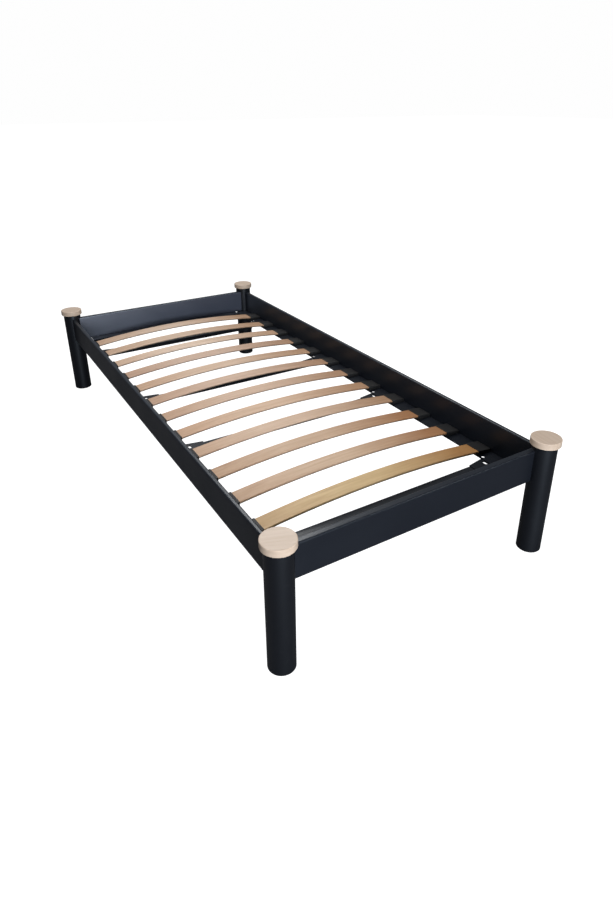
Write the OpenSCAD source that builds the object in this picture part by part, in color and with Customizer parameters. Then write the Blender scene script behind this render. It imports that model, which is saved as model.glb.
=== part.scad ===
// Single bed frame: steel tube posts and box rails, beech discs on the posts, twelve sprung slats.
// X runs across the bed, Y from the foot end to the head end, Z up from the floor.

/* [Mattress space] */
// Clear width between the side rails
clear_w = 900; // [700:10:1600]
// Clear length between the end rails
clear_l = 2008; // [1500:2:2400]

/* [Posts] */
// Outside diameter of a post tube
post_d = 76; // [60:1:100]
// Wall of a post tube
post_wall = 2; // [1.5:0.5:4]
// Overall height, floor to the top of the discs
total_h = 400; // [320:5:600]
// Diameter of a beech disc
disc_d = 92; // [80:1:130]
// Thickness of a beech disc
disc_t = 21; // [10:1:40]
// Rounding of a disc's edges
disc_round = 2; // [1:0.5:4]
// Depth of the spigot turned under a disc
spigot_h = 14; // [8:1:40]
// Thickness of the plastic under a post
glide_t = 5; // [3:1:10]
// Depth of the glide's plug inside the post
glide_plug_h = 22; // [10:1:50]

/* [Rails] */
// Height of every rail
rail_h = 107; // [95:1:140]
// Gap from the floor to the rails
rail_clear = 254; // [180:2:300]
// Thickness of the side rails
side_rail_t = 15; // [15:1:30]
// Thickness of the end rails
end_rail_t = 23; // [16:1:34]
// How far the side rails' outer faces lie outside the post centres
side_rail_out = 8; // [2:1:14]
// How far the end rails' outer faces lie inside the post centres
end_rail_in = 4; // [0:1:8]
// Wall of the rails
rail_wall = 2; // [1.5:0.5:2.5]
// Outside bend radius of the rails
rail_bend = 5; // [3:0.5:7]

/* [Rail joints] */
// Length of a post's tongue inside its rail
tongue_l = 60; // [50:1:90]
// Height of a tongue
tongue_h = 40; // [25:1:60]
// Distance between the two bolts of a tongue
bolt_pitch = 28; // [20:1:36]

/* [Shelves] */
// Width of the shelf that the slat caps stand on
shelf_w = 58; // [58:1:80]
// Thickness of the shelves and ledges
shelf_t = 3; // [2:0.5:4]
// Width of the ledge inside an end rail
ledge_w = 50; // [25:1:60]
// Height of the lip that stiffens the ledge's edge
ledge_lip = 10; // [6:1:16]

/* [Crossbars] */
// Width of a crossbar tube
bar_w = 30; // [20:1:40]
// Height of a crossbar tube
bar_h = 20; // [15:1:40]
// Wall of a crossbar tube
bar_wall = 1.5; // [1:0.5:3]
// Distance from the foot rail to the middle of the first crossbar
bar_foot = 130.5; // [110:0.5:200]
// Thickness of the plates under the shelves
gusset_t = 3; // [2:0.5:5]
// Half width of a plate under its shelf
gusset_half = 25; // [22:1:40]

/* [Slats] */
// Width of a slat
slat_w = 58; // [45:1:80]
// Thickness of a slat
slat_t = 8; // [7:0.5:10]
// Rise of a slat's middle above its ends
slat_rise = 30; // [15:1:45]
// Distance from the foot rail to the nearest slat
slat_foot = 171; // [60:1:220]
// Distance from the head rail to the farthest slat
slat_head = 123; // [60:1:220]
// Rounding of a slat's long edges
slat_round = 2.5; // [1:0.5:3]
// Depth of a slat's end inside its cap
slat_grip = 50; // [44:1:64]
// Wall of the slat caps
cap_wall = 1.6; // [1.2:0.1:3]

/* [Fasteners] */
// Diameter of the frame bolts
bolt_d = 6; // [5:0.5:6]
// Diameter of the crossbar screws
screw_d = 6; // [5:0.5:6]
// Diameter of the open holes through the shelves, beside the crossbar plates
open_hole_d = 12; // [6:0.5:14]
// Width of the slot in each plate, just inside the shelf
plate_slot_w = 10; // [6:0.5:12]
// Length of that slot, along the bed
plate_slot_l = 18; // [14:1:24]

/* [Hidden] */

fine = 96;                              // fragments of a round part
fit = 0.2;                              // clearance of a push fit, on the radius
cope = 0.3;                             // gap between a rail's end and its post
cut = 1;                                // overrun of a cutting tool
steel = [0.17, 0.18, 0.20];
beech = [0.86, 0.76, 0.62];
veneer = [0.80, 0.66, 0.48];
plastic = [0.07, 0.07, 0.08];
zinc = [0.70, 0.71, 0.73];

// Post centres
post_x = clear_w / 2 + side_rail_t - side_rail_out;
post_y = clear_l / 2 + end_rail_t + end_rail_in;
post_top = total_h - disc_t;
bore_d = post_d - 2 * post_wall;

// Rails
side_face = clear_w / 2;                // inner face of a side rail
end_face = clear_l / 2;                 // inner face of an end rail

// Tongues and their bolts
slip = 0.3;                             // clearance of a tongue in its rail
side_tongue_t = side_rail_t - 2 * rail_wall - 2 * slip;
end_tongue_t = end_rail_t - 2 * rail_wall - 2 * slip;
side_offset = side_rail_out - side_rail_t / 2;          // rail centres seen from the post centre
end_offset = end_rail_t / 2 + end_rail_in;
tongue_z = rail_clear + rail_wall + slip;
bolt_near = post_d / 2 + (tongue_l - bolt_pitch) / 2;
bolt_reach = [bolt_near, bolt_near + bolt_pitch];       // from the post centre
bolt_head_d = 10.5;
bolt_head_h = 2.8;
bolt_l = 22;

// Shelves and ledges
shelf_z = rail_clear + shelf_t;         // top of the shelf
shelf_edge = side_face - shelf_w;
shelf_end = post_y - post_d / 2 - 4;
ledge_half = shelf_edge - 3;

// Crossbars
bar_count = 4;
bar_top = rail_clear - gusset_t;
bar_half = shelf_edge - 20;
gusset_inner = shelf_edge - 61;         // the plate flares from here
gusset_shoulder = shelf_edge - 4;       // to here, and is straight beyond
gusset_outer = side_face - 8;
plate_slot_x = shelf_edge - 2 - plate_slot_w / 2;
open_hole_x = shelf_edge + 12;
open_hole_y = gusset_half + open_hole_d / 4;            // takes a bite out of the plate's side
screw_x = shelf_edge + 36;
screw_y = gusset_half / 2;
screw_l = gusset_t + shelf_t - 0.5;     // stops just under the top of the shelf
screw_head_d = 11;
screw_head_h = 3.3;

// Slats and caps
slat_count = 12;
slat_end = side_face - 6;               // half the slat's length
slat_radius = (slat_end * slat_end + slat_rise * slat_rise) / (2 * slat_rise);
slat_angle = asin(slat_end / slat_radius);
cap_floor = 1.8;                        // plastic under the slat's tip
slat_crown = shelf_z + cap_floor + slat_t + slat_rise;
slat_axis_z = slat_crown - slat_radius;
slat_first = -end_face + slat_foot + slat_w / 2;
slat_pitch = (clear_l - slat_foot - slat_head - slat_w) / (slat_count - 1);
cap_slack = 0.15;
cap_mouth = slat_end - slat_grip;
cap_back = side_face - 0.5;
cap_half = slat_w / 2 + cap_wall;
peg_d = 8;
peg_x = side_face - 30;
bar_gaps = [4, 7, 11];                  // these bars lie in the gap after the slat of that number
bar_shift = 2;                          // from the middle of the gap, towards the head end

function slat_y(i) = slat_first + (i - 1) * slat_pitch;
function bar_y(i) = i == 1 ? -end_face + bar_foot : slat_y(bar_gaps[i - 2] + 0.5) + bar_shift;
function slat_top(x) = slat_axis_z + sqrt(slat_radius * slat_radius - x * x);

// Places
module at_corner(sx, sy) {
    translate([sx * post_x, sy * post_y, 0])
        mirror([sx < 0 ? 1 : 0, 0, 0])
            mirror([0, sy < 0 ? 1 : 0, 0])
                children();
}

module each_corner() {
    for (sx = [-1, 1])
        for (sy = [-1, 1])
            at_corner(sx, sy) children();
}

// Rectangle with round corners
module round_rect(w, h, r) {
    square([w - 2 * r, h], center = true);
    square([w, h - 2 * r], center = true);
    for (sx = [-1, 1])
        for (sy = [-1, 1])
            translate([sx * (w / 2 - r), sy * (h / 2 - r)])
                circle(r = r, $fn = 48);
}

// Hollow box section, its length along X
module box_tube(length, w, h, wall, bend) {
    rotate([90, 0, 90])
        linear_extrude(length, center = true)
            difference() {
                round_rect(w, h, bend);
                round_rect(w - 2 * wall, h - 2 * wall, bend - wall);
            }
}

// Posts
// A flat bar from the post centre along +Y, tapped from below for its two bolts
module tongue(thick) {
    difference() {
        translate([0, 0, tongue_z + tongue_h / 2])
            rotate([-90, 0, 0])
                linear_extrude(post_d / 2 + tongue_l)
                    round_rect(thick, tongue_h, rail_bend - rail_wall);
        for (y = bolt_reach)
            translate([0, y, tongue_z - cut])
                cylinder(d = bolt_d, h = bolt_l + cut, $fn = fine);
    }
}

// A post in the +X +Y corner, its tongues pointing back along the two rails
module post_shape() {
    difference() {
        union() {
            translate([0, 0, glide_t])
                cylinder(d = post_d, h = post_top - glide_t, $fn = fine);
            translate([side_offset, 0, 0])
                rotate(180)
                    tongue(side_tongue_t);
            translate([0, -end_offset, 0])
                rotate(90)
                    tongue(end_tongue_t);
        }
        translate([0, 0, glide_t - cut])
            cylinder(d = bore_d, h = total_h, $fn = fine);
    }
}

module post(sx, sy) {
    color(steel)
        at_corner(sx, sy)
            post_shape();
}

// Beech disc with its spigot in the top of the post
module disc_shape() {
    rotate_extrude($fn = fine) {
        difference() {
            translate([0, disc_t / 2])
                round_rect(disc_d, disc_t, disc_round);
            translate([-disc_d, -disc_t])
                square([disc_d, 3 * disc_t]);
        }
        translate([0, -spigot_h])
            square([bore_d / 2 - fit, spigot_h + disc_t / 2]);
    }
}

module disc(sx, sy) {
    color(beech)
        translate([sx * post_x, sy * post_y, post_top])
            disc_shape();
}

// Plastic glide: a foot as wide as the post and a hollow plug inside it
module glide(sx, sy) {
    plug_r = bore_d / 2 - fit;
    plug_wall = 3;
    color(plastic)
        translate([sx * post_x, sy * post_y, 0])
            difference() {
                union() {
                    cylinder(d1 = post_d - 4, d2 = post_d, h = 2, $fn = fine);
                    translate([0, 0, 2])
                        cylinder(d = post_d, h = glide_t - 2, $fn = fine);
                    translate([0, 0, glide_t])
                        cylinder(r = plug_r, h = glide_plug_h, $fn = fine);
                }
                translate([0, 0, glide_t])
                    cylinder(r = plug_r - plug_wall, h = glide_plug_h + cut, $fn = fine);
            }
}

// Rails: a closed box section whose lower side runs on inwards as a shelf or a ledge
module post_clearance() {
    each_corner()
        cylinder(d = post_d + 2 * cope, h = total_h, $fn = fine);
}

// Box section with its outer face at x = 0 and its lower side at y = 0
module rail_box(thick) {
    difference() {
        translate([-thick / 2, rail_h / 2])
            round_rect(thick, rail_h, rail_bend);
        translate([-thick / 2, rail_h / 2])
            round_rect(thick - 2 * rail_wall, rail_h - 2 * rail_wall, rail_bend - rail_wall);
    }
}

// Holes in a rail's lower side for the bolts of both its tongues, the rail running along Y
module tongue_holes(half) {
    for (s = [-1, 1])
        for (y = bolt_reach)
            translate([0, s * (half - y), rail_clear - cut])
                cylinder(d = bolt_d + 0.5, h = rail_wall + 2 * cut, $fn = fine);
}

module end_rail(sy) {
    color(steel)
        mirror([0, sy < 0 ? 1 : 0, 0])
            difference() {
                union() {
                    translate([-post_x, end_face + end_rail_t, rail_clear])
                        rotate([90, 0, 90])
                            linear_extrude(2 * post_x)
                                rail_box(end_rail_t);
                    rotate([90, 0, 90])
                        linear_extrude(2 * ledge_half, center = true)
                            ledge_profile();
                }
                post_clearance();
                translate([0, end_face + end_rail_t / 2, 0])
                    rotate(90)
                        tongue_holes(post_x);
            }
}

// The ledge starts inside the box's wall and ends in a lip turned down
module ledge_profile() {
    translate([end_face - ledge_w, rail_clear])
        square([ledge_w + rail_bend, rail_wall]);
    translate([end_face - ledge_w, rail_clear])
        square([ledge_w, shelf_t]);
    translate([end_face - ledge_w, shelf_z - ledge_lip])
        square([shelf_t, ledge_lip]);
}

module side_rail(sx) {
    color(steel)
        mirror([sx < 0 ? 1 : 0, 0, 0])
            difference() {
                union() {
                    translate([side_face + side_rail_t, post_y, rail_clear])
                        rotate([90, 0, 0])
                            linear_extrude(2 * post_y)
                                rail_box(side_rail_t);
                    translate([shelf_edge, -shelf_end, rail_clear])
                        cube([shelf_w, 2 * shelf_end, shelf_t]);
                    translate([shelf_edge, -shelf_end, rail_clear])
                        cube([shelf_w + rail_bend, 2 * shelf_end, rail_wall]);
                }
                post_clearance();
                translate([side_face + side_rail_t / 2, 0, 0])
                    tongue_holes(post_y);
                shelf_holes();
            }
}

module shelf_hole(x, y, d) {
    translate([x, y, rail_clear - cut])
        cylinder(d = d, h = shelf_t + 2 * cut, $fn = fine);
}

module shelf_holes() {
    for (i = [1 : slat_count])
        shelf_hole(peg_x, slat_y(i), peg_d + 0.4);
    for (i = [1 : bar_count])
        for (s = [-1, 1]) {
            shelf_hole(open_hole_x, bar_y(i) + s * open_hole_y, open_hole_d);
            shelf_hole(screw_x, bar_y(i) + s * screw_y, screw_d);
        }
}

// Crossbars: a tube with a flared plate under the shelf at each end
module gusset_outline() {
    polygon([
        [gusset_inner, -bar_w / 2], [gusset_shoulder, -gusset_half],
        [gusset_outer, -gusset_half], [gusset_outer, gusset_half],
        [gusset_shoulder, gusset_half], [gusset_inner, bar_w / 2]
    ]);
}

module gusset_plate() {
    translate([0, 0, bar_top])
        linear_extrude(gusset_t)
            difference() {
                gusset_outline();
                for (s = [-1, 1]) {
                    translate([open_hole_x, s * open_hole_y])
                        circle(d = open_hole_d, $fn = fine);
                    translate([screw_x, s * screw_y])
                        circle(d = screw_d, $fn = fine);
                    translate([plate_slot_x, s * (plate_slot_l - plate_slot_w) / 2])
                        circle(d = plate_slot_w, $fn = fine);
                }
                translate([plate_slot_x, 0])
                    square([plate_slot_w, plate_slot_l - plate_slot_w], center = true);
            }
}

module crossbar(i) {
    color(steel)
        translate([0, bar_y(i), 0]) {
            translate([0, 0, bar_top - bar_h / 2])
                box_tube(2 * bar_half, bar_w, bar_h, bar_wall, 2 * bar_wall);
            for (side = [0, 1])
                mirror([side, 0, 0])
                    gusset_plate();
        }
}

// Slats: a curved strip turned about an axis far below the bed
module arch(radius, thick, width, edge, angle) {
    translate([0, 0, slat_axis_z])
        rotate([90, 0, 0])
            rotate([0, 0, 90 - angle])
                rotate_extrude(angle = 2 * angle, $fn = 1440)
                    translate([radius - thick / 2, 0])
                        round_rect(thick, width, edge);
}

module slat(i) {
    color(veneer)
        translate([0, slat_y(i), 0])
            arch(slat_radius, slat_t, slat_w, slat_round, slat_angle);
}

// Plastic cap on a slat's right end, with a peg in the shelf
module slat_cap() {
    difference() {
        union() {
            translate([0, cap_half, 0])
                rotate([90, 0, 0])
                    linear_extrude(2 * cap_half)
                        polygon([
                            [cap_mouth, shelf_z + 2], [cap_mouth + 6, shelf_z], [cap_back, shelf_z],
                            [cap_back, slat_top(slat_end) + cap_wall],
                            [cap_mouth, slat_top(cap_mouth) + cap_wall]
                        ]);
            translate([peg_x, 0, rail_clear])
                cylinder(d = peg_d, h = shelf_t + 1, $fn = fine);
        }
        arch(slat_radius + cap_slack, slat_t + 2 * cap_slack, slat_w + 2 * cap_slack,
             slat_round, slat_angle + 0.02);
    }
}

module slat_caps(sx) {
    color(plastic)
        mirror([sx < 0 ? 1 : 0, 0, 0])
            for (i = [1 : slat_count])
                translate([0, slat_y(i), 0])
                    slat_cap();
}

// Fasteners
// Button-head bolt standing on its head, its shank going up from the origin
module bolt() {
    cylinder(d = bolt_d, h = bolt_l, $fn = fine);
    difference() {
        translate([0, 0, -bolt_head_h])
            cylinder(d = bolt_head_d, h = bolt_head_h, $fn = fine);
        translate([0, 0, -bolt_head_h - cut])
            cylinder(d = 4.6, h = 1.8 + cut, $fn = 6);
    }
}

module frame_bolts() {
    color(zinc)
        each_corner()
            for (reach = bolt_reach) {
                translate([side_offset, -reach, rail_clear])
                    bolt();
                translate([-reach, -end_offset, rail_clear])
                    bolt();
            }
}

module crossbar_screws() {
    color(plastic)
        for (side = [0, 1])
            mirror([side, 0, 0])
                for (i = [1 : bar_count])
                    for (s = [-1, 1])
                        translate([screw_x, bar_y(i) + s * screw_y, bar_top]) {
                            cylinder(d = screw_d, h = screw_l, $fn = fine);
                            translate([0, 0, -screw_head_h])
                                cylinder(d = screw_head_d, h = screw_head_h, $fn = fine);
                        }
}

post(-1, -1);  // post_foot_left
post(1, -1);  // post_foot_right
post(-1, 1);  // post_head_left
post(1, 1);  // post_head_right
disc(-1, -1);  // disc_foot_left
disc(1, -1);  // disc_foot_right
disc(-1, 1);  // disc_head_left
disc(1, 1);  // disc_head_right
glide(-1, -1);  // glide_foot_left
glide(1, -1);  // glide_foot_right
glide(-1, 1);  // glide_head_left
glide(1, 1);  // glide_head_right
end_rail(-1);  // foot_rail
end_rail(1);  // head_rail
side_rail(-1);  // left_rail
side_rail(1);  // right_rail
crossbar(1);  // crossbar_1
crossbar(2);  // crossbar_2
crossbar(3);  // crossbar_3
crossbar(4);  // crossbar_4
slat(1);  // slat_01
slat(2);  // slat_02
slat(3);  // slat_03
slat(4);  // slat_04
slat(5);  // slat_05
slat(6);  // slat_06
slat(7);  // slat_07
slat(8);  // slat_08
slat(9);  // slat_09
slat(10);  // slat_10
slat(11);  // slat_11
slat(12);  // slat_12
slat_caps(-1);  // left_slat_caps
slat_caps(1);  // right_slat_caps
frame_bolts();
crossbar_screws();
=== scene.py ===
import math

import bpy
from mathutils import Matrix, Vector


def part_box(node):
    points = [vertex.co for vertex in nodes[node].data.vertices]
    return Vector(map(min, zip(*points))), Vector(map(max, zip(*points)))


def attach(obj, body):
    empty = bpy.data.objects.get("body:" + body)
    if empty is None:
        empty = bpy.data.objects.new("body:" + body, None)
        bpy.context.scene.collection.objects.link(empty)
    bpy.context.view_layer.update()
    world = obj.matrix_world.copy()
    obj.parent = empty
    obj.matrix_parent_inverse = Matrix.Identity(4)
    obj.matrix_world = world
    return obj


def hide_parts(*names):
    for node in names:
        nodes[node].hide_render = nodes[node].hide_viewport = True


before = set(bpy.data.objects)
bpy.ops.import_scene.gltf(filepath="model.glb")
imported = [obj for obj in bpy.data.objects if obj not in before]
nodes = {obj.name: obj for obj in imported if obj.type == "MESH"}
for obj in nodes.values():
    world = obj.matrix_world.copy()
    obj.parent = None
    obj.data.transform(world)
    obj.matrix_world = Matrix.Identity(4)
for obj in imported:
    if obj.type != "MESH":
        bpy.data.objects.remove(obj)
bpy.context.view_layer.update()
slatNodes = sorted(n for n in nodes if n.startswith("slat_"))
print("frame loaded:", len(nodes), "nodes")


def rgb(red, green, blue):
    return (red, green, blue, 1)


viewpoint = {
    "place": (-1.0142, -2.0896, 1.3211),
    "heading": -31.49,                 # degrees, turned right of +Y
    "tilt": -24.87,
    "roll": -0.16,
    "lens": 24.95,
    "sensor": 36,
    "shift": (-0.0054, -0.0723),
}

floorLook = {
    "halfSize": 40.0,
    "roughness": 0.9,
    "seenColour": rgb(0.35, 0.35, 0.35),
    "bounceColour": rgb(0.11, 0.11, 0.115),
    "lift": 0.975,                     # own light, so that the floor reads as pale paper
}

studio = {
    "sky": rgb(0.80, 0.88, 1.0),
    "skyDark": 0.05,                   # strength towards the foot end
    "skyBright": 0.32,                 # strength towards the head end
    "skyRange": (-0.1, 0.9),           # where along Y the sky goes from dark to bright
    "backdrop": rgb(0.99, 0.99, 0.99),
}

# Each lamp: place, aimed at, size, power, colour
lamps = {
    "lowKey": ((-0.9, -4.4, 1.0), (0.0, 0.0, 0.3), 1.8, 215, (0.90, 0.95, 1.0)),
    "ceilingPanel": ((0.42, 1.2, 2.6), (-0.2, -0.7, 0.3), 1.2, 38, (1.0, 0.99, 0.97)),
    "topFill": ((-1.0, -0.6, 4.0), (0.0, -0.1, 0.2), 2.2, 64, (1.0, 0.99, 0.98)),
    "rightStrip": ((2.2, -3.0, 2.6), (0.0, -0.9, 0.3), 0.8, 16, (0.94, 0.97, 1.0)),
    "farRailWash": ((-0.8, -2.0, 0.75), (-0.2, 1.0, 0.3), 0.7, 330, (0.92, 0.93, 1.0)),
}


def makeCamera():
    data = bpy.data.cameras.new("camera")
    data.lens = viewpoint["lens"]
    data.sensor_width = viewpoint["sensor"]
    data.shift_x, data.shift_y = viewpoint["shift"]
    camera = bpy.data.objects.new("camera", data)
    bpy.context.scene.collection.objects.link(camera)
    turn = Matrix.Rotation(math.radians(viewpoint["heading"]), 4, "Z")
    tilt = Matrix.Rotation(math.radians(90 + viewpoint["tilt"]), 4, "X")
    roll = Matrix.Rotation(math.radians(viewpoint["roll"]), 4, "Z")
    camera.matrix_world = Matrix.Translation(viewpoint["place"]) @ turn @ tilt @ roll
    bpy.context.scene.camera = camera


def makeFloor():
    bpy.ops.mesh.primitive_plane_add(size=2 * floorLook["halfSize"], location=(0, 0, 0))
    floor = bpy.context.active_object
    floor.name = "floor"
    material = bpy.data.materials.new("floorPaper")
    material.use_nodes = True
    tree = material.node_tree
    shader = tree.nodes["Principled BSDF"]
    shader.inputs["Roughness"].default_value = floorLook["roughness"]
    shader.inputs["Specular IOR Level"].default_value = 0.0
    shader.inputs["Emission Color"].default_value = rgb(1, 1, 1)
    path = tree.nodes.new("ShaderNodeLightPath")
    colour = tree.nodes.new("ShaderNodeMix")
    colour.data_type = "RGBA"
    colour.inputs["A"].default_value = floorLook["bounceColour"]
    colour.inputs["B"].default_value = floorLook["seenColour"]
    glow = tree.nodes.new("ShaderNodeMath")
    glow.operation = "MULTIPLY"
    glow.inputs[1].default_value = floorLook["lift"]
    tree.links.new(path.outputs["Is Camera Ray"], colour.inputs["Factor"])
    tree.links.new(colour.outputs["Result"], shader.inputs["Base Color"])
    tree.links.new(path.outputs["Is Camera Ray"], glow.inputs[0])
    tree.links.new(glow.outputs[0], shader.inputs["Emission Strength"])
    floor.data.materials.append(material)


def makeLamp(name, place, aim, size, power, colour):
    data = bpy.data.lights.new(name, "AREA")
    data.size = size
    data.energy = power
    data.color = colour
    lamp = bpy.data.objects.new(name, data)
    lamp.location = place
    lamp.rotation_euler = (Vector(aim) - Vector(place)).to_track_quat("-Z", "Y").to_euler()
    bpy.context.scene.collection.objects.link(lamp)
    return lamp


def makeSky():
    world = bpy.data.worlds.new("studio")
    world.use_nodes = True
    bpy.context.scene.world = world
    tree = world.node_tree
    tree.nodes.clear()
    path = tree.nodes.new("ShaderNodeLightPath")
    seen = tree.nodes.new("ShaderNodeBackground")
    seen.inputs["Color"].default_value = studio["backdrop"]
    lit = tree.nodes.new("ShaderNodeBackground")
    lit.inputs["Color"].default_value = studio["sky"]
    where = tree.nodes.new("ShaderNodeTexCoord")
    split = tree.nodes.new("ShaderNodeSeparateXYZ")
    tree.links.new(where.outputs["Generated"], split.inputs[0])
    ramp = tree.nodes.new("ShaderNodeMapRange")
    ramp.inputs["From Min"].default_value, ramp.inputs["From Max"].default_value = studio["skyRange"]
    ramp.inputs["To Min"].default_value = studio["skyDark"]
    ramp.inputs["To Max"].default_value = studio["skyBright"]
    tree.links.new(split.outputs["Y"], ramp.inputs["Value"])
    tree.links.new(ramp.outputs["Result"], lit.inputs["Strength"])
    mix = tree.nodes.new("ShaderNodeMixShader")
    out = tree.nodes.new("ShaderNodeOutputWorld")
    tree.links.new(path.outputs["Is Camera Ray"], mix.inputs["Fac"])
    tree.links.new(lit.outputs[0], mix.inputs[1])
    tree.links.new(seen.outputs[0], mix.inputs[2])
    tree.links.new(mix.outputs[0], out.inputs["Surface"])


bpy.context.scene.view_settings.view_transform = "Standard"
makeCamera()
makeFloor()
makeSky()
for lampName, lampValues in lamps.items():
    lamp = makeLamp(lampName, *lampValues)
    if lampName == "farRailWash":      # falls on the head rail alone
        washed = bpy.data.collections.new("washed")
        washed.objects.link(nodes["head_rail"])
        lamp.light_linking.receiver_collection = washed
print("camera, floor and light done")


def addNode(tree, kind, **values):
    node = tree.nodes.new(kind)
    for key, value in values.items():
        setattr(node, key, value)
    return node


def setInputs(node, **values):
    for key, value in values.items():
        node.inputs[key].default_value = value
    return node


def feed(tree, socket, value):
    # Sets a socket to a constant, or links it to another node's output
    if isinstance(value, (int, float, tuple)):
        socket.default_value = value
    else:
        tree.links.new(value, socket)


def newGroup(name, inputs, outputs):
    group = bpy.data.node_groups.new(name, "ShaderNodeTree")
    for socket, kind, value in inputs:
        made = group.interface.new_socket(socket, in_out="INPUT", socket_type=kind)
        if value is not None:
            made.default_value = value
    for socket, kind in outputs:
        group.interface.new_socket(socket, in_out="OUTPUT", socket_type=kind)
    return group, group.nodes.new("NodeGroupInput"), group.nodes.new("NodeGroupOutput")


def noiseOf(tree, vector, scale, detail=2.0, rough=0.5):
    node = addNode(tree, "ShaderNodeTexNoise")
    setInputs(node, Scale=scale, Detail=detail, Roughness=rough)
    tree.links.new(vector, node.inputs["Vector"])
    return node.outputs["Fac"]


def rangeOf(tree, value, low, high, toLow=0.0, toHigh=1.0):
    node = addNode(tree, "ShaderNodeMapRange", clamp=True)
    tree.links.new(value, node.inputs["Value"])
    for key, number in (("From Min", low), ("From Max", high), ("To Min", toLow), ("To Max", toHigh)):
        feed(tree, node.inputs[key], number)
    return node.outputs["Result"]


def mathOf(tree, operation, first, second=0.0):
    node = addNode(tree, "ShaderNodeMath", operation=operation)
    for socket, value in zip(node.inputs, (first, second)):
        feed(tree, socket, value)
    return node.outputs[0]


def blendOf(tree, factor, first, second, how="MIX"):
    node = addNode(tree, "ShaderNodeMix", data_type="RGBA", blend_type=how)
    for key, value in (("Factor", factor), ("A", first), ("B", second)):
        feed(tree, node.inputs[key], value)
    return node.outputs["Result"]


def stretched(tree, vector, scale):
    node = addNode(tree, "ShaderNodeMapping")
    node.inputs["Scale"].default_value = scale
    tree.links.new(vector, node.inputs["Vector"])
    return node.outputs[0]


def moved(tree, vector, place, turn=0.0):
    node = addNode(tree, "ShaderNodeMapping")
    node.inputs["Location"].default_value = place
    node.inputs["Rotation"].default_value = (0, 0, turn)
    tree.links.new(vector, node.inputs["Vector"])
    return node.outputs[0]


# A noise is its scale, detail and roughness
coatLook = {
    "pebble": (520.0, 2.0),
    "cloud": (5.0, 3.0),
    "cloudRoughness": 0.22,
    "scuff": (34.0, 6.0, 0.7),
    "scuffStretch": (1, 1, 3),
    "scuffRange": (0.60, 0.80),
    "scuffTint": 0.5,
    "scuffRoughness": 0.12,
    "specular": 0.40,
    "specularTint": rgb(0.80, 0.89, 1.0),
    "clearCoat": 0.22,
    "clearRoughness": 0.20,
    "bumpDistance": 0.0003,
}


def buildCoatGroup():
    # Powder coat: a fine pebbled skin, faint cloudy patches and a few rubbed spots
    group, start, end = newGroup(
        "coatSkin",
        [("Position", "NodeSocketVector", None),
         ("Colour", "NodeSocketColor", rgb(0.01, 0.01, 0.01)),
         ("Rubbed", "NodeSocketColor", rgb(0.03, 0.03, 0.03)),
         ("Base Roughness", "NodeSocketFloat", 0.4)],
        [("Colour", "NodeSocketColor"), ("Roughness", "NodeSocketFloat"),
         ("Height", "NodeSocketFloat")],
    )
    place = start.outputs["Position"]
    pebble = noiseOf(group, place, *coatLook["pebble"])
    cloud = noiseOf(group, place, *coatLook["cloud"])
    worn = noiseOf(group, stretched(group, place, coatLook["scuffStretch"]), *coatLook["scuff"])
    scuff = rangeOf(group, worn, *coatLook["scuffRange"])
    mark = mathOf(group, "MULTIPLY", scuff, coatLook["scuffTint"])
    tinted = blendOf(group, mark, start.outputs["Colour"], start.outputs["Rubbed"])
    cloudy = mathOf(group, "MULTIPLY", mathOf(group, "SUBTRACT", cloud, 0.5),
                    coatLook["cloudRoughness"])
    rough = mathOf(group, "ADD", start.outputs["Base Roughness"], cloudy)
    rougher = mathOf(group, "MULTIPLY", mark, coatLook["scuffRoughness"])
    group.links.new(tinted, end.inputs["Colour"])
    group.links.new(mathOf(group, "ADD", rough, rougher), end.inputs["Roughness"])
    group.links.new(pebble, end.inputs["Height"])
    return group


beechLook = {
    "lineStretch": (0.045, 1.0, 1.0),
    "lineDetail": 4.0,
    "lineRoughness": 0.62,
    "lineDistortion": 0.35,
    "streakRange": (0.34, 0.68),
    "streakShare": 0.55,
    "broad": (26.0, 2.0),
    "broadStretch": (0.12, 1.0, 1.0),
    "broadShare": 0.35,
    "wander": (4.0, 2.0),
    "wanderStretch": (0.6, 1.0, 1.0),
    "wanderShare": 0.18,
    "fleckScale": 330.0,
    "fleckStretch": (0.10, 1.0, 1.0),
    "fleckRange": (0.10, 0.24),
    "roughnessRange": (0.46, 0.56),
    "bumpDistance": 0.0004,
}


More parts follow.
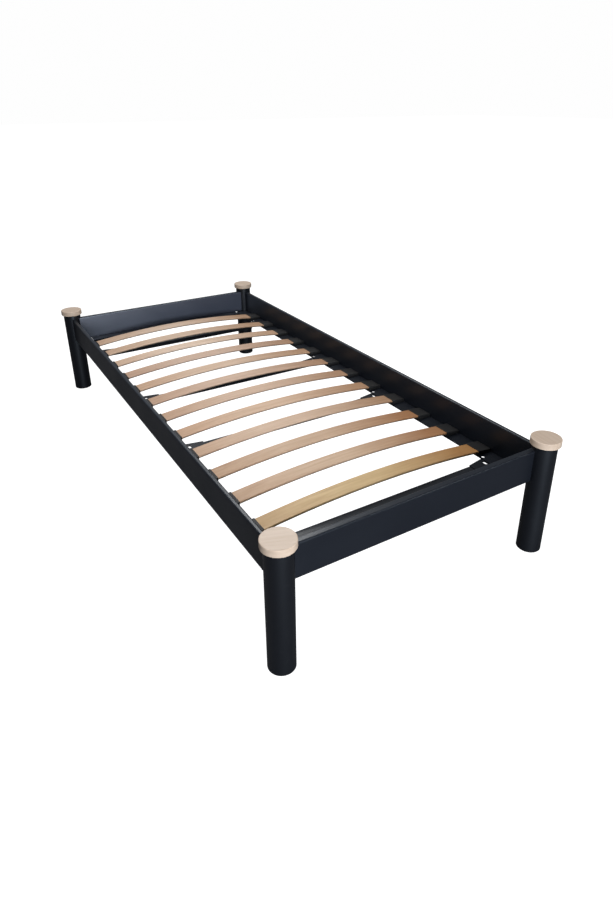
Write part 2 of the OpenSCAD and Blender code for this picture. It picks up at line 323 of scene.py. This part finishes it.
def buildGrainGroup():
    # Beech: soft growth lines along X, short dark flecks and slow changes of tone
    group, start, end = newGroup(
        "beechGrain",
        [("Position", "NodeSocketVector", None),
         ("Light", "NodeSocketColor", rgb(0.7, 0.5, 0.35)),
         ("Dark", "NodeSocketColor", rgb(0.4, 0.25, 0.15)),
         ("Line Scale", "NodeSocketFloat", 60.0),
         ("Fleck", "NodeSocketFloat", 0.4)],
        [("Colour", "NodeSocketColor"), ("Roughness", "NodeSocketFloat"),
         ("Height", "NodeSocketFloat")],
    )
    place = start.outputs["Position"]
    wander = noiseOf(group, stretched(group, place, beechLook["wanderStretch"]), *beechLook["wander"])
    lines = addNode(group, "ShaderNodeTexNoise")
    setInputs(lines, Detail=beechLook["lineDetail"], Roughness=beechLook["lineRoughness"],
              Distortion=beechLook["lineDistortion"])
    group.links.new(stretched(group, place, beechLook["lineStretch"]), lines.inputs["Vector"])
    group.links.new(start.outputs["Line Scale"], lines.inputs["Scale"])
    streak = rangeOf(group, lines.outputs["Fac"], *beechLook["streakRange"])
    broad = noiseOf(group, stretched(group, place, beechLook["broadStretch"]), *beechLook["broad"])
    tone = mathOf(group, "ADD", mathOf(group, "MULTIPLY", streak, beechLook["streakShare"]),
                  mathOf(group, "MULTIPLY", broad, beechLook["broadShare"]))
    tone = mathOf(group, "ADD", tone, mathOf(group, "MULTIPLY", wander, beechLook["wanderShare"]))
    flecks = addNode(group, "ShaderNodeTexVoronoi", feature="F1")
    setInputs(flecks, Scale=beechLook["fleckScale"], Randomness=1.0)
    group.links.new(stretched(group, place, beechLook["fleckStretch"]), flecks.inputs["Vector"])
    fleck = rangeOf(group, flecks.outputs["Distance"], *beechLook["fleckRange"], 1.0, 0.0)
    fleck = mathOf(group, "MULTIPLY", fleck, start.outputs["Fleck"])
    wood = blendOf(group, tone, start.outputs["Light"], start.outputs["Dark"])
    wood = blendOf(group, fleck, wood, start.outputs["Dark"])
    group.links.new(wood, end.inputs["Colour"])
    group.links.new(rangeOf(group, streak, 0, 1, *beechLook["roughnessRange"]),
                    end.inputs["Roughness"])
    group.links.new(mathOf(group, "SUBTRACT", streak, fleck), end.inputs["Height"])
    return group


coatSkin = buildCoatGroup()
beechGrain = buildGrainGroup()


def newMaterial(name):
    material = bpy.data.materials.new(name)
    material.use_nodes = True
    tree = material.node_tree
    where = addNode(tree, "ShaderNodeTexCoord")
    return material, tree, tree.nodes["Principled BSDF"], where.outputs["Object"]


def placeGroup(tree, group, position, **values):
    node = addNode(tree, "ShaderNodeGroup", node_tree=group)
    tree.links.new(position, node.inputs["Position"])
    for key, value in values.items():
        node.inputs[key.replace("_", " ")].default_value = value
    return node


def addBump(tree, shader, height, strength, distance):
    bump = addNode(tree, "ShaderNodeBump")
    setInputs(bump, Strength=strength, Distance=distance)
    tree.links.new(height, bump.inputs["Height"])
    tree.links.new(bump.outputs["Normal"], shader.inputs["Normal"])


def joinShader(tree, shader, node, colour, bump, distance):
    # Colour, roughness and bump of a group's node, into the shader
    tree.links.new(colour, shader.inputs["Base Color"])
    tree.links.new(node.outputs["Roughness"], shader.inputs["Roughness"])
    addBump(tree, shader, node.outputs["Height"], bump, distance)


def makeCoat(name, colour, rubbed, roughness, skin):
    material, tree, shader, place = newMaterial(name)
    node = placeGroup(tree, coatSkin, place, Colour=colour, Rubbed=rubbed, Base_Roughness=roughness)
    shader.inputs["Specular IOR Level"].default_value = coatLook["specular"]
    shader.inputs["Coat Weight"].default_value = coatLook["clearCoat"]
    shader.inputs["Coat Roughness"].default_value = coatLook["clearRoughness"]
    shader.inputs["Specular Tint"].default_value = coatLook["specularTint"]
    joinShader(tree, shader, node, node.outputs["Colour"], skin, coatLook["bumpDistance"])
    return material


discLook = {
    "light": rgb(0.58, 0.465, 0.37),
    "dark": rgb(0.465, 0.35, 0.26),
    "lineScale": 70.0,
    "fleck": 0.45,
    "wax": 0.12,
    "bump": 0.12,
    "firstTurn": 0.4,                  # radians, so that no two discs show the same grain
    "nextTurn": 1.3,
    "slide": (0.31, 0.17),
}


def makeDiscBeech(name, turn):
    material, tree, shader, place = newMaterial(name)
    slideX, slideY = discLook["slide"]
    turned = moved(tree, place, (slideX * turn, slideY * turn, 0), turn)
    node = placeGroup(tree, beechGrain, turned, Light=discLook["light"], Dark=discLook["dark"],
                      Line_Scale=discLook["lineScale"], Fleck=discLook["fleck"])
    shader.inputs["Coat Weight"].default_value = discLook["wax"]
    joinShader(tree, shader, node, node.outputs["Colour"], discLook["bump"],
               beechLook["bumpDistance"])
    return material


# Lengths in metres; a normal range is a share of the face's unit normal
veneerLook = {
    "lineScale": 95.0,
    "fleck": 0.35,
    "slide": 0.73,
    "slideAcross": 0.37,
    "glueLine": 0.16,                  # share of one layer
    "glueAmount": 0.55,
    "glueColour": rgb(0.16, 0.09, 0.05),
    "edgeNormal": (0.55, 0.85),
    "patch": (6.5, 3.0, 0.55),
    "patchStretch": (1.0, 2.6, 1.0),
    "patchRange": (0.40, 0.62),
    "patchAmount": 0.62,
    # painted shade: the right ends of the slats darkened towards the end
    "rightShadeFade": (0.0, 0.33),
    # painted shade: the left ends of the slats a little darker and warmer than the lit middle
    "leftShadeFade": (-0.34, -0.16),
    "leftEndShade": rgb(0.895, 0.82, 0.756),
    "underShadeStart": 0.0056,              # painted shade on the long edges starts this far below the top face
    "underShadeFull": 0.0036,
    "underShadeAmount": 0.8,
    "underShadeColour": rgb(0.05, 0.035, 0.025),
    # painted shade: a dark outline along the far edges of the slats
    "farShadeNormal": (0.30, 0.75),
    "farShadeAmount": 0.7,
    "farShadeColour": rgb(0.07, 0.05, 0.035),
    "bump": 0.15,
}

slatPly = {"thickness": 0.008, "layers": 5}


def makeVeneer(name, light, dark, slide, axisHeight, topRadius, rightEndShade):
    # Face grain on top, thin glue lines along the long edges, where the layers follow the arch
    look = veneerLook
    material, tree, shader, place = newMaterial(name)
    slid = moved(tree, place, (slide, look["slideAcross"] * slide, 0))
    node = placeGroup(tree, beechGrain, slid, Light=light, Dark=dark,
                      Line_Scale=look["lineScale"], Fleck=look["fleck"])
    split = addNode(tree, "ShaderNodeSeparateXYZ")
    tree.links.new(place, split.inputs[0])
    along = split.outputs["X"]
    rise = mathOf(tree, "SUBTRACT", split.outputs["Z"], axisHeight)
    radius = mathOf(tree, "SQRT", mathOf(tree, "ADD", mathOf(tree, "MULTIPLY", rise, rise),
                                         mathOf(tree, "MULTIPLY", along, along)))
    facing = addNode(tree, "ShaderNodeNewGeometry")
    normal = addNode(tree, "ShaderNodeSeparateXYZ")
    tree.links.new(facing.outputs["Normal"], normal.inputs[0])
    edge = rangeOf(tree, mathOf(tree, "ABSOLUTE", normal.outputs["Y"]), *look["edgeNormal"])

    layer = slatPly["thickness"] / slatPly["layers"]
    glue = rangeOf(tree, mathOf(tree, "PINGPONG", radius, layer),
                   0.0, look["glueLine"] * layer, 1.0, 0.0)
    glueMask = mathOf(tree, "MULTIPLY", mathOf(tree, "MULTIPLY", glue, edge), look["glueAmount"])
    patch = noiseOf(tree, stretched(tree, slid, look["patchStretch"]), *look["patch"])
    patch = rangeOf(tree, patch, *look["patchRange"], 0.0, look["patchAmount"])
    # painted shade on the left ends
    leftShadeMask = rangeOf(tree, along, *look["leftShadeFade"], 1.0, 0.0)
    # painted shade: a dark band on the lower part of the long edges, where the edge is in shadow
    lower = rangeOf(tree, radius, topRadius - look["underShadeStart"], topRadius - look["underShadeFull"],
                    look["underShadeAmount"], 0.0)
    # painted shade: faces turned towards the head end darkened, as if in shadow
    farEdgeShade = rangeOf(tree, normal.outputs["Y"], *look["farShadeNormal"], 0.0, look["farShadeAmount"])

    wood = blendOf(tree, patch, node.outputs["Colour"], blendOf(tree, 0.5, light, dark))
    # painted shade on the right ends, darker and browner
    wood = blendOf(tree, rangeOf(tree, along, *look["rightShadeFade"]), wood, rightEndShade, "MULTIPLY")
    wood = blendOf(tree, leftShadeMask, wood, look["leftEndShade"], "MULTIPLY")
    # painted shade under the long edges
    wood = blendOf(tree, mathOf(tree, "MULTIPLY", lower, edge), wood, look["underShadeColour"])
    wood = blendOf(tree, farEdgeShade, wood, look["farShadeColour"])
    wood = blendOf(tree, glueMask, wood, look["glueColour"])
    joinShader(tree, shader, node, wood, look["bump"], beechLook["bumpDistance"])
    return material


plasticLook = {"rubbed": rgb(0.05, 0.05, 0.05), "bump": 0.25}


def makePlastic(name, colour, roughness):
    material, tree, shader, place = newMaterial(name)
    node = placeGroup(tree, coatSkin, place, Colour=colour, Rubbed=plasticLook["rubbed"],
                      Base_Roughness=roughness)
    joinShader(tree, shader, node, node.outputs["Colour"], plasticLook["bump"],
               coatLook["bumpDistance"])
    return material


zincLook = {
    "dark": rgb(0.50, 0.51, 0.52),
    "light": rgb(0.68, 0.68, 0.66),
    "spangle": (260.0, 3.0),
    "spangleRange": (0.2, 0.8),
    "roughnessRange": (0.28, 0.46),
    "bump": 0.15,
    "bumpDistance": 0.0002,
}


def makeZinc(name):
    material, tree, shader, place = newMaterial(name)
    shader.inputs["Metallic"].default_value = 1.0
    spangle = noiseOf(tree, place, *zincLook["spangle"])
    tree.links.new(blendOf(tree, spangle, zincLook["dark"], zincLook["light"]),
                   shader.inputs["Base Color"])
    tree.links.new(rangeOf(tree, spangle, *zincLook["spangleRange"], *zincLook["roughnessRange"]),
                   shader.inputs["Roughness"])
    addBump(tree, shader, spangle, zincLook["bump"], zincLook["bumpDistance"])
    return material


def giveMaterial(node, material):
    data = nodes[node].data
    data.materials.clear()
    data.materials.append(material)


# Tones of the twelve slats, foot end first: light and dark of each veneer
slatTones = [
    (rgb(0.699, 0.513, 0.263), rgb(0.473, 0.311, 0.145)),
    (rgb(0.633, 0.456, 0.312), rgb(0.427, 0.277, 0.172)),
    (rgb(0.612, 0.434, 0.295), rgb(0.413, 0.263, 0.163)),
    (rgb(0.682, 0.505, 0.371), rgb(0.461, 0.306, 0.204)),
    (rgb(0.689, 0.494, 0.35), rgb(0.465, 0.3, 0.193)),
    (rgb(0.668, 0.489, 0.362), rgb(0.451, 0.296, 0.2)),
    (rgb(0.654, 0.478, 0.362), rgb(0.442, 0.29, 0.2)),
    (rgb(0.703, 0.527, 0.392), rgb(0.475, 0.319, 0.216)),
    (rgb(0.647, 0.478, 0.371), rgb(0.437, 0.29, 0.204)),
    (rgb(0.787, 0.624, 0.497), rgb(0.532, 0.379, 0.274)),
    (rgb(0.682, 0.521, 0.396), rgb(0.461, 0.316, 0.218)),
    (rgb(0.689, 0.532, 0.413), rgb(0.465, 0.323, 0.228)),
]

# What the right ends are multiplied by: painted shade, darker where the light falls off; the slats
# nearest the foot end are browner there
rightEndShades = {"foot": rgb(0.64, 0.45, 0.30), "rest": rgb(0.67, 0.56, 0.46)}
footSlats = 3

postCoat = makeCoat("postCoat", rgb(0.003, 0.0034, 0.005), rgb(0.012, 0.012, 0.014), 0.42, 0.30)
railCoat = makeCoat("railCoat", rgb(0.0052, 0.0064, 0.0100), rgb(0.014, 0.015, 0.019), 0.42, 0.30)
barCoat = makeCoat("barCoat", rgb(0.0034, 0.0042, 0.0066), rgb(0.013, 0.014, 0.017), 0.50, 0.30)
blackPlastic = makePlastic("blackPlastic", rgb(0.004, 0.004, 0.0045), 0.60)
blackSteel = makePlastic("blackSteel", rgb(0.006, 0.006, 0.007), 0.42)
zincSteel = makeZinc("zincSteel")

for name in nodes:
    if name.startswith("post_"):
        giveMaterial(name, postCoat)
    elif name.endswith("_rail"):
        giveMaterial(name, railCoat)
    elif name.startswith("crossbar_") and name != "crossbar_screws":
        giveMaterial(name, barCoat)
    elif name.startswith("glide_") or name.endswith("_slat_caps"):
        giveMaterial(name, blackPlastic)
    elif name == "frame_bolts":
        giveMaterial(name, zincSteel)
    elif name == "crossbar_screws":
        giveMaterial(name, blackSteel)

for number, name in enumerate(sorted(n for n in nodes if n.startswith("disc_"))):
    turn = discLook["firstTurn"] + discLook["nextTurn"] * number
    giveMaterial(name, makeDiscBeech(name + "Beech", turn))

slatLow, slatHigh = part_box(slatNodes[0])
slatRise = slatHigh.z - slatLow.z - slatPly["thickness"]
slatRadius = (slatHigh.x ** 2 + slatRise ** 2) / (2 * slatRise)
slatAxis = slatHigh.z - slatRadius     # height of the arch's centre
for number, name in enumerate(slatNodes):
    light, dark = slatTones[number]
    slide = veneerLook["slide"] * (number + 1)
    rightEndShade = rightEndShades["foot" if number < footSlats else "rest"]
    giveMaterial(name, makeVeneer("veneer" + name[-2:], light, dark, slide, slatAxis, slatRadius,
                                  rightEndShade))
print("materials done")


def islands(node, reach):
    # Boxes of a node's separate solids, told apart by their distance in plan
    groups = []
    for vertex in nodes[node].data.vertices:
        place = vertex.co
        for group in groups:
            if math.hypot(place.x - group[0].x, place.y - group[0].y) < reach:
                group.append(place)
                break
        else:
            groups.append([place])
    return [tuple([f(getattr(v, axis) for v in group) for axis in "xyz"] for f in (min, max))
            for group in groups]


def startPiece(name, add, **values):
    bpy.ops.object.select_all(action="DESELECT")
    add(**values)
    piece = bpy.context.active_object
    piece.name = name
    return piece


def pick(piece, test):
    # Selects the faces whose centre and normal pass the test, and goes into edit mode
    bpy.ops.object.select_all(action="DESELECT")
    piece.select_set(True)
    bpy.context.view_layer.objects.active = piece
    bpy.ops.object.mode_set(mode="EDIT")
    bpy.ops.mesh.select_mode(type="FACE")
    bpy.ops.mesh.select_all(action="DESELECT")
    bpy.ops.object.mode_set(mode="OBJECT")
    for face in piece.data.polygons:
        face.select = test(face.center, face.normal)
    bpy.ops.object.mode_set(mode="EDIT")


def stopEditing():
    bpy.ops.object.mode_set(mode="OBJECT")


def boxPiece(name, low, high):
    size = [b - a for a, b in zip(low, high)]
    middle = [(a + b) / 2 for a, b in zip(low, high)]
    piece = startPiece(name, bpy.ops.mesh.primitive_cube_add, size=1)
    bpy.ops.object.mode_set(mode="EDIT")
    bpy.ops.mesh.select_all(action="SELECT")
    bpy.ops.transform.resize(value=size)
    bpy.ops.transform.translate(value=middle)
    stopEditing()
    return piece


def lowerEnd(piece, beyond, drop):
    # Slopes a box down towards its back end
    bpy.ops.object.mode_set(mode="EDIT")
    bpy.ops.mesh.select_mode(type="VERT")
    bpy.ops.mesh.select_all(action="DESELECT")
    stopEditing()
    for vertex in piece.data.vertices:
        vertex.select = beyond(vertex.co)
    bpy.ops.object.mode_set(mode="EDIT")
    bpy.ops.transform.translate(value=(0, 0, -drop))
    stopEditing()


def useModifier(piece, kind, **values):
    bpy.ops.object.select_all(action="DESELECT")
    piece.select_set(True)
    bpy.context.view_layer.objects.active = piece
    modifier = piece.modifiers.new(kind.lower(), kind)
    for key, value in values.items():
        setattr(modifier, key, value)
    bpy.ops.object.modifier_apply(modifier=modifier.name)


def carve(piece, cutter, operation="DIFFERENCE"):
    useModifier(piece, "BOOLEAN", operation=operation, object=cutter, solver="EXACT")
    bpy.data.objects.remove(cutter, do_unlink=True)


edgeAngle = 40                         # degrees; sharper edges are rounded
smoothAngle = 35


def polish(piece, width, material):
    useModifier(piece, "BEVEL", width=width, segments=2, limit_method="ANGLE",
                angle_limit=math.radians(edgeAngle))
    bpy.ops.object.shade_smooth_by_angle(angle=math.radians(smoothAngle))
    piece.data.materials.clear()
    piece.data.materials.append(material)


def copyTo(pattern, name, move, node):
    piece = bpy.data.objects.new(name, pattern.data.copy())
    piece.data.transform(move)
    bpy.context.scene.collection.objects.link(piece)
    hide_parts(node)
    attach(piece, "root")


def faces(direction):
    # A test for the faces that look up (1) or down (-1)
    return lambda centre, normal: normal.z * direction > 0.8


holder = {
    "wall": 0.0016,
    "panel": 0.007,                    # margin round the sunk panel on top
    "sunk": 0.0006,
    "slack": 0.00015,                  # between the slat and its pocket
    "ahead": 0.01,                     # how far the pocket's cutter starts in front of the mouth
    "pegRadius": 0.004,
    "pegLength": 0.003,
    "overlap": 0.001,                  # of the peg with the shell
    "edge": 0.0005,
}

nearly = 0.001                         # tolerance for picking the vertices of one end


def archTop(x):
    return slatAxis + math.sqrt(slatRadius * slatRadius - x * x)


def makeHolders():
    low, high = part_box("right_slat_caps")
    middles = [sum(corner.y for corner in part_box(name)) / 2 for name in slatNodes]
    middleY = middles[0]
    high.y = 2 * middleY - low.y        # the first cap alone
    floorZ = low[2] + holder["pegLength"]
    mouthTop = archTop(low[0]) + holder["wall"]
    drop = archTop(low[0]) - archTop(slatHigh.x)
    shell = boxPiece("slatHolder", (low[0], low[1], floorZ), (high[0], high[1], mouthTop))
    lowerEnd(shell, lambda v: v.x > high[0] - nearly and v.z > (floorZ + mouthTop) / 2, drop)
    pick(shell, faces(1))
    bpy.ops.mesh.inset(thickness=holder["panel"], depth=-holder["sunk"])
    stopEditing()

    slack, ahead = holder["slack"], holder["ahead"]
    slope = drop / (slatHigh.x - low[0])
    cutTop = archTop(low[0]) + slack + ahead * slope
    slotCut = boxPiece(
        "slotCut",
        (low[0] - ahead, slatLow.y - slack, cutTop - slatPly["thickness"] - 2 * slack),
        (slatHigh.x + slack, slatHigh.y + slack, cutTop),
    )
    lowerEnd(slotCut, lambda v: v.x > slatHigh.x - nearly, drop + ahead * slope)
    carve(shell, slotCut)

    pegDepth = holder["pegLength"] + holder["overlap"]
    peg = startPiece("peg", bpy.ops.mesh.primitive_cylinder_add, vertices=32,
                     radius=holder["pegRadius"], depth=pegDepth)
    bpy.ops.object.mode_set(mode="EDIT")
    bpy.ops.mesh.select_all(action="SELECT")
    pegEnd = [v.co.x for v in nodes["right_slat_caps"].data.vertices if v.co.z < low[2] + nearly / 2]
    pegX = (min(pegEnd) + max(pegEnd)) / 2
    bpy.ops.transform.translate(value=(pegX, middleY, low[2] + pegDepth / 2))
    stopEditing()
    carve(shell, peg, "UNION")
    polish(shell, holder["edge"], blackPlastic)

    toCentre = Matrix.Translation((0, -middleY, 0))
    turn = Matrix.Rotation(math.pi, 4, "Z")
    for number, y in enumerate(middles):
        place = Matrix.Translation((0, y, 0))
        copyTo(shell, "slatHolderRight%02d" % (number + 1), place @ toCentre,
               "right_slat_caps")
        copyTo(shell, "slatHolderLeft%02d" % (number + 1), place @ turn @ toCentre,
               "left_slat_caps")
    bpy.data.objects.remove(shell, do_unlink=True)
    print("slat holders done:", 2 * len(middles))


fasteners = {
    "frame_bolts": {"hexagon": 0.0023, "recess": 0.0018, "head": 0.0028, "slot": "zinc_steel"},
    "crossbar_screws": {"hexagon": 0.0022, "recess": 0.0020, "head": 0.0033, "slot": "black_steel"},
}

fastenerShape = {
    "reach": 0.012,                    # vertices nearer than this in plan are one fastener
    "shank": 0.003,
    "rounding": 0.38,                  # share of the head's height
    "overlap": 0.0005,                 # of the shank with the head
    "edge": 0.00015,
}


def makeFasteners(node, material):
    sizes, shape = fasteners[node], fastenerShape
    boxes = sorted(islands(node, shape["reach"]))
    low, high = boxes[0]
    headHeight = sizes["head"]
    head = startPiece("head", bpy.ops.mesh.primitive_cylinder_add, vertices=40,
                      radius=(high[0] - low[0]) / 2, depth=headHeight,
                      location=(0, 0, headHeight / 2))
    bpy.ops.object.transform_apply(location=True, rotation=False, scale=False)
    pick(head, faces(-1))
    bpy.ops.mesh.bevel(offset=headHeight * shape["rounding"], segments=4, affect="EDGES")
    stopEditing()
    hexCut = startPiece("hexCut", bpy.ops.mesh.primitive_cylinder_add, vertices=6,
                        radius=sizes["hexagon"], depth=2 * sizes["recess"], location=(0, 0, 0))
    carve(head, hexCut)
    length = high[2] - low[2] - headHeight
    pin = startPiece("pin", bpy.ops.mesh.primitive_cylinder_add, vertices=32,
                     radius=shape["shank"], depth=length + shape["overlap"],
                     location=(0, 0, headHeight + length / 2 - shape["overlap"] / 2))
    carve(head, pin, "UNION")
    polish(head, shape["edge"], material)
    for number, (boxLow, boxHigh) in enumerate(boxes):
        place = Matrix.Translation(((boxLow[0] + boxHigh[0]) / 2, (boxLow[1] + boxHigh[1]) / 2,
                                    boxLow[2]))
        copyTo(head, "%s%02d" % (node.replace("_", ""), number + 1), place, node)
    bpy.data.objects.remove(head, do_unlink=True)
    print(node, "done:", len(boxes))


makeHolders()
makeFasteners("frame_bolts", zincSteel)
makeFasteners("crossbar_screws", blackSteel)
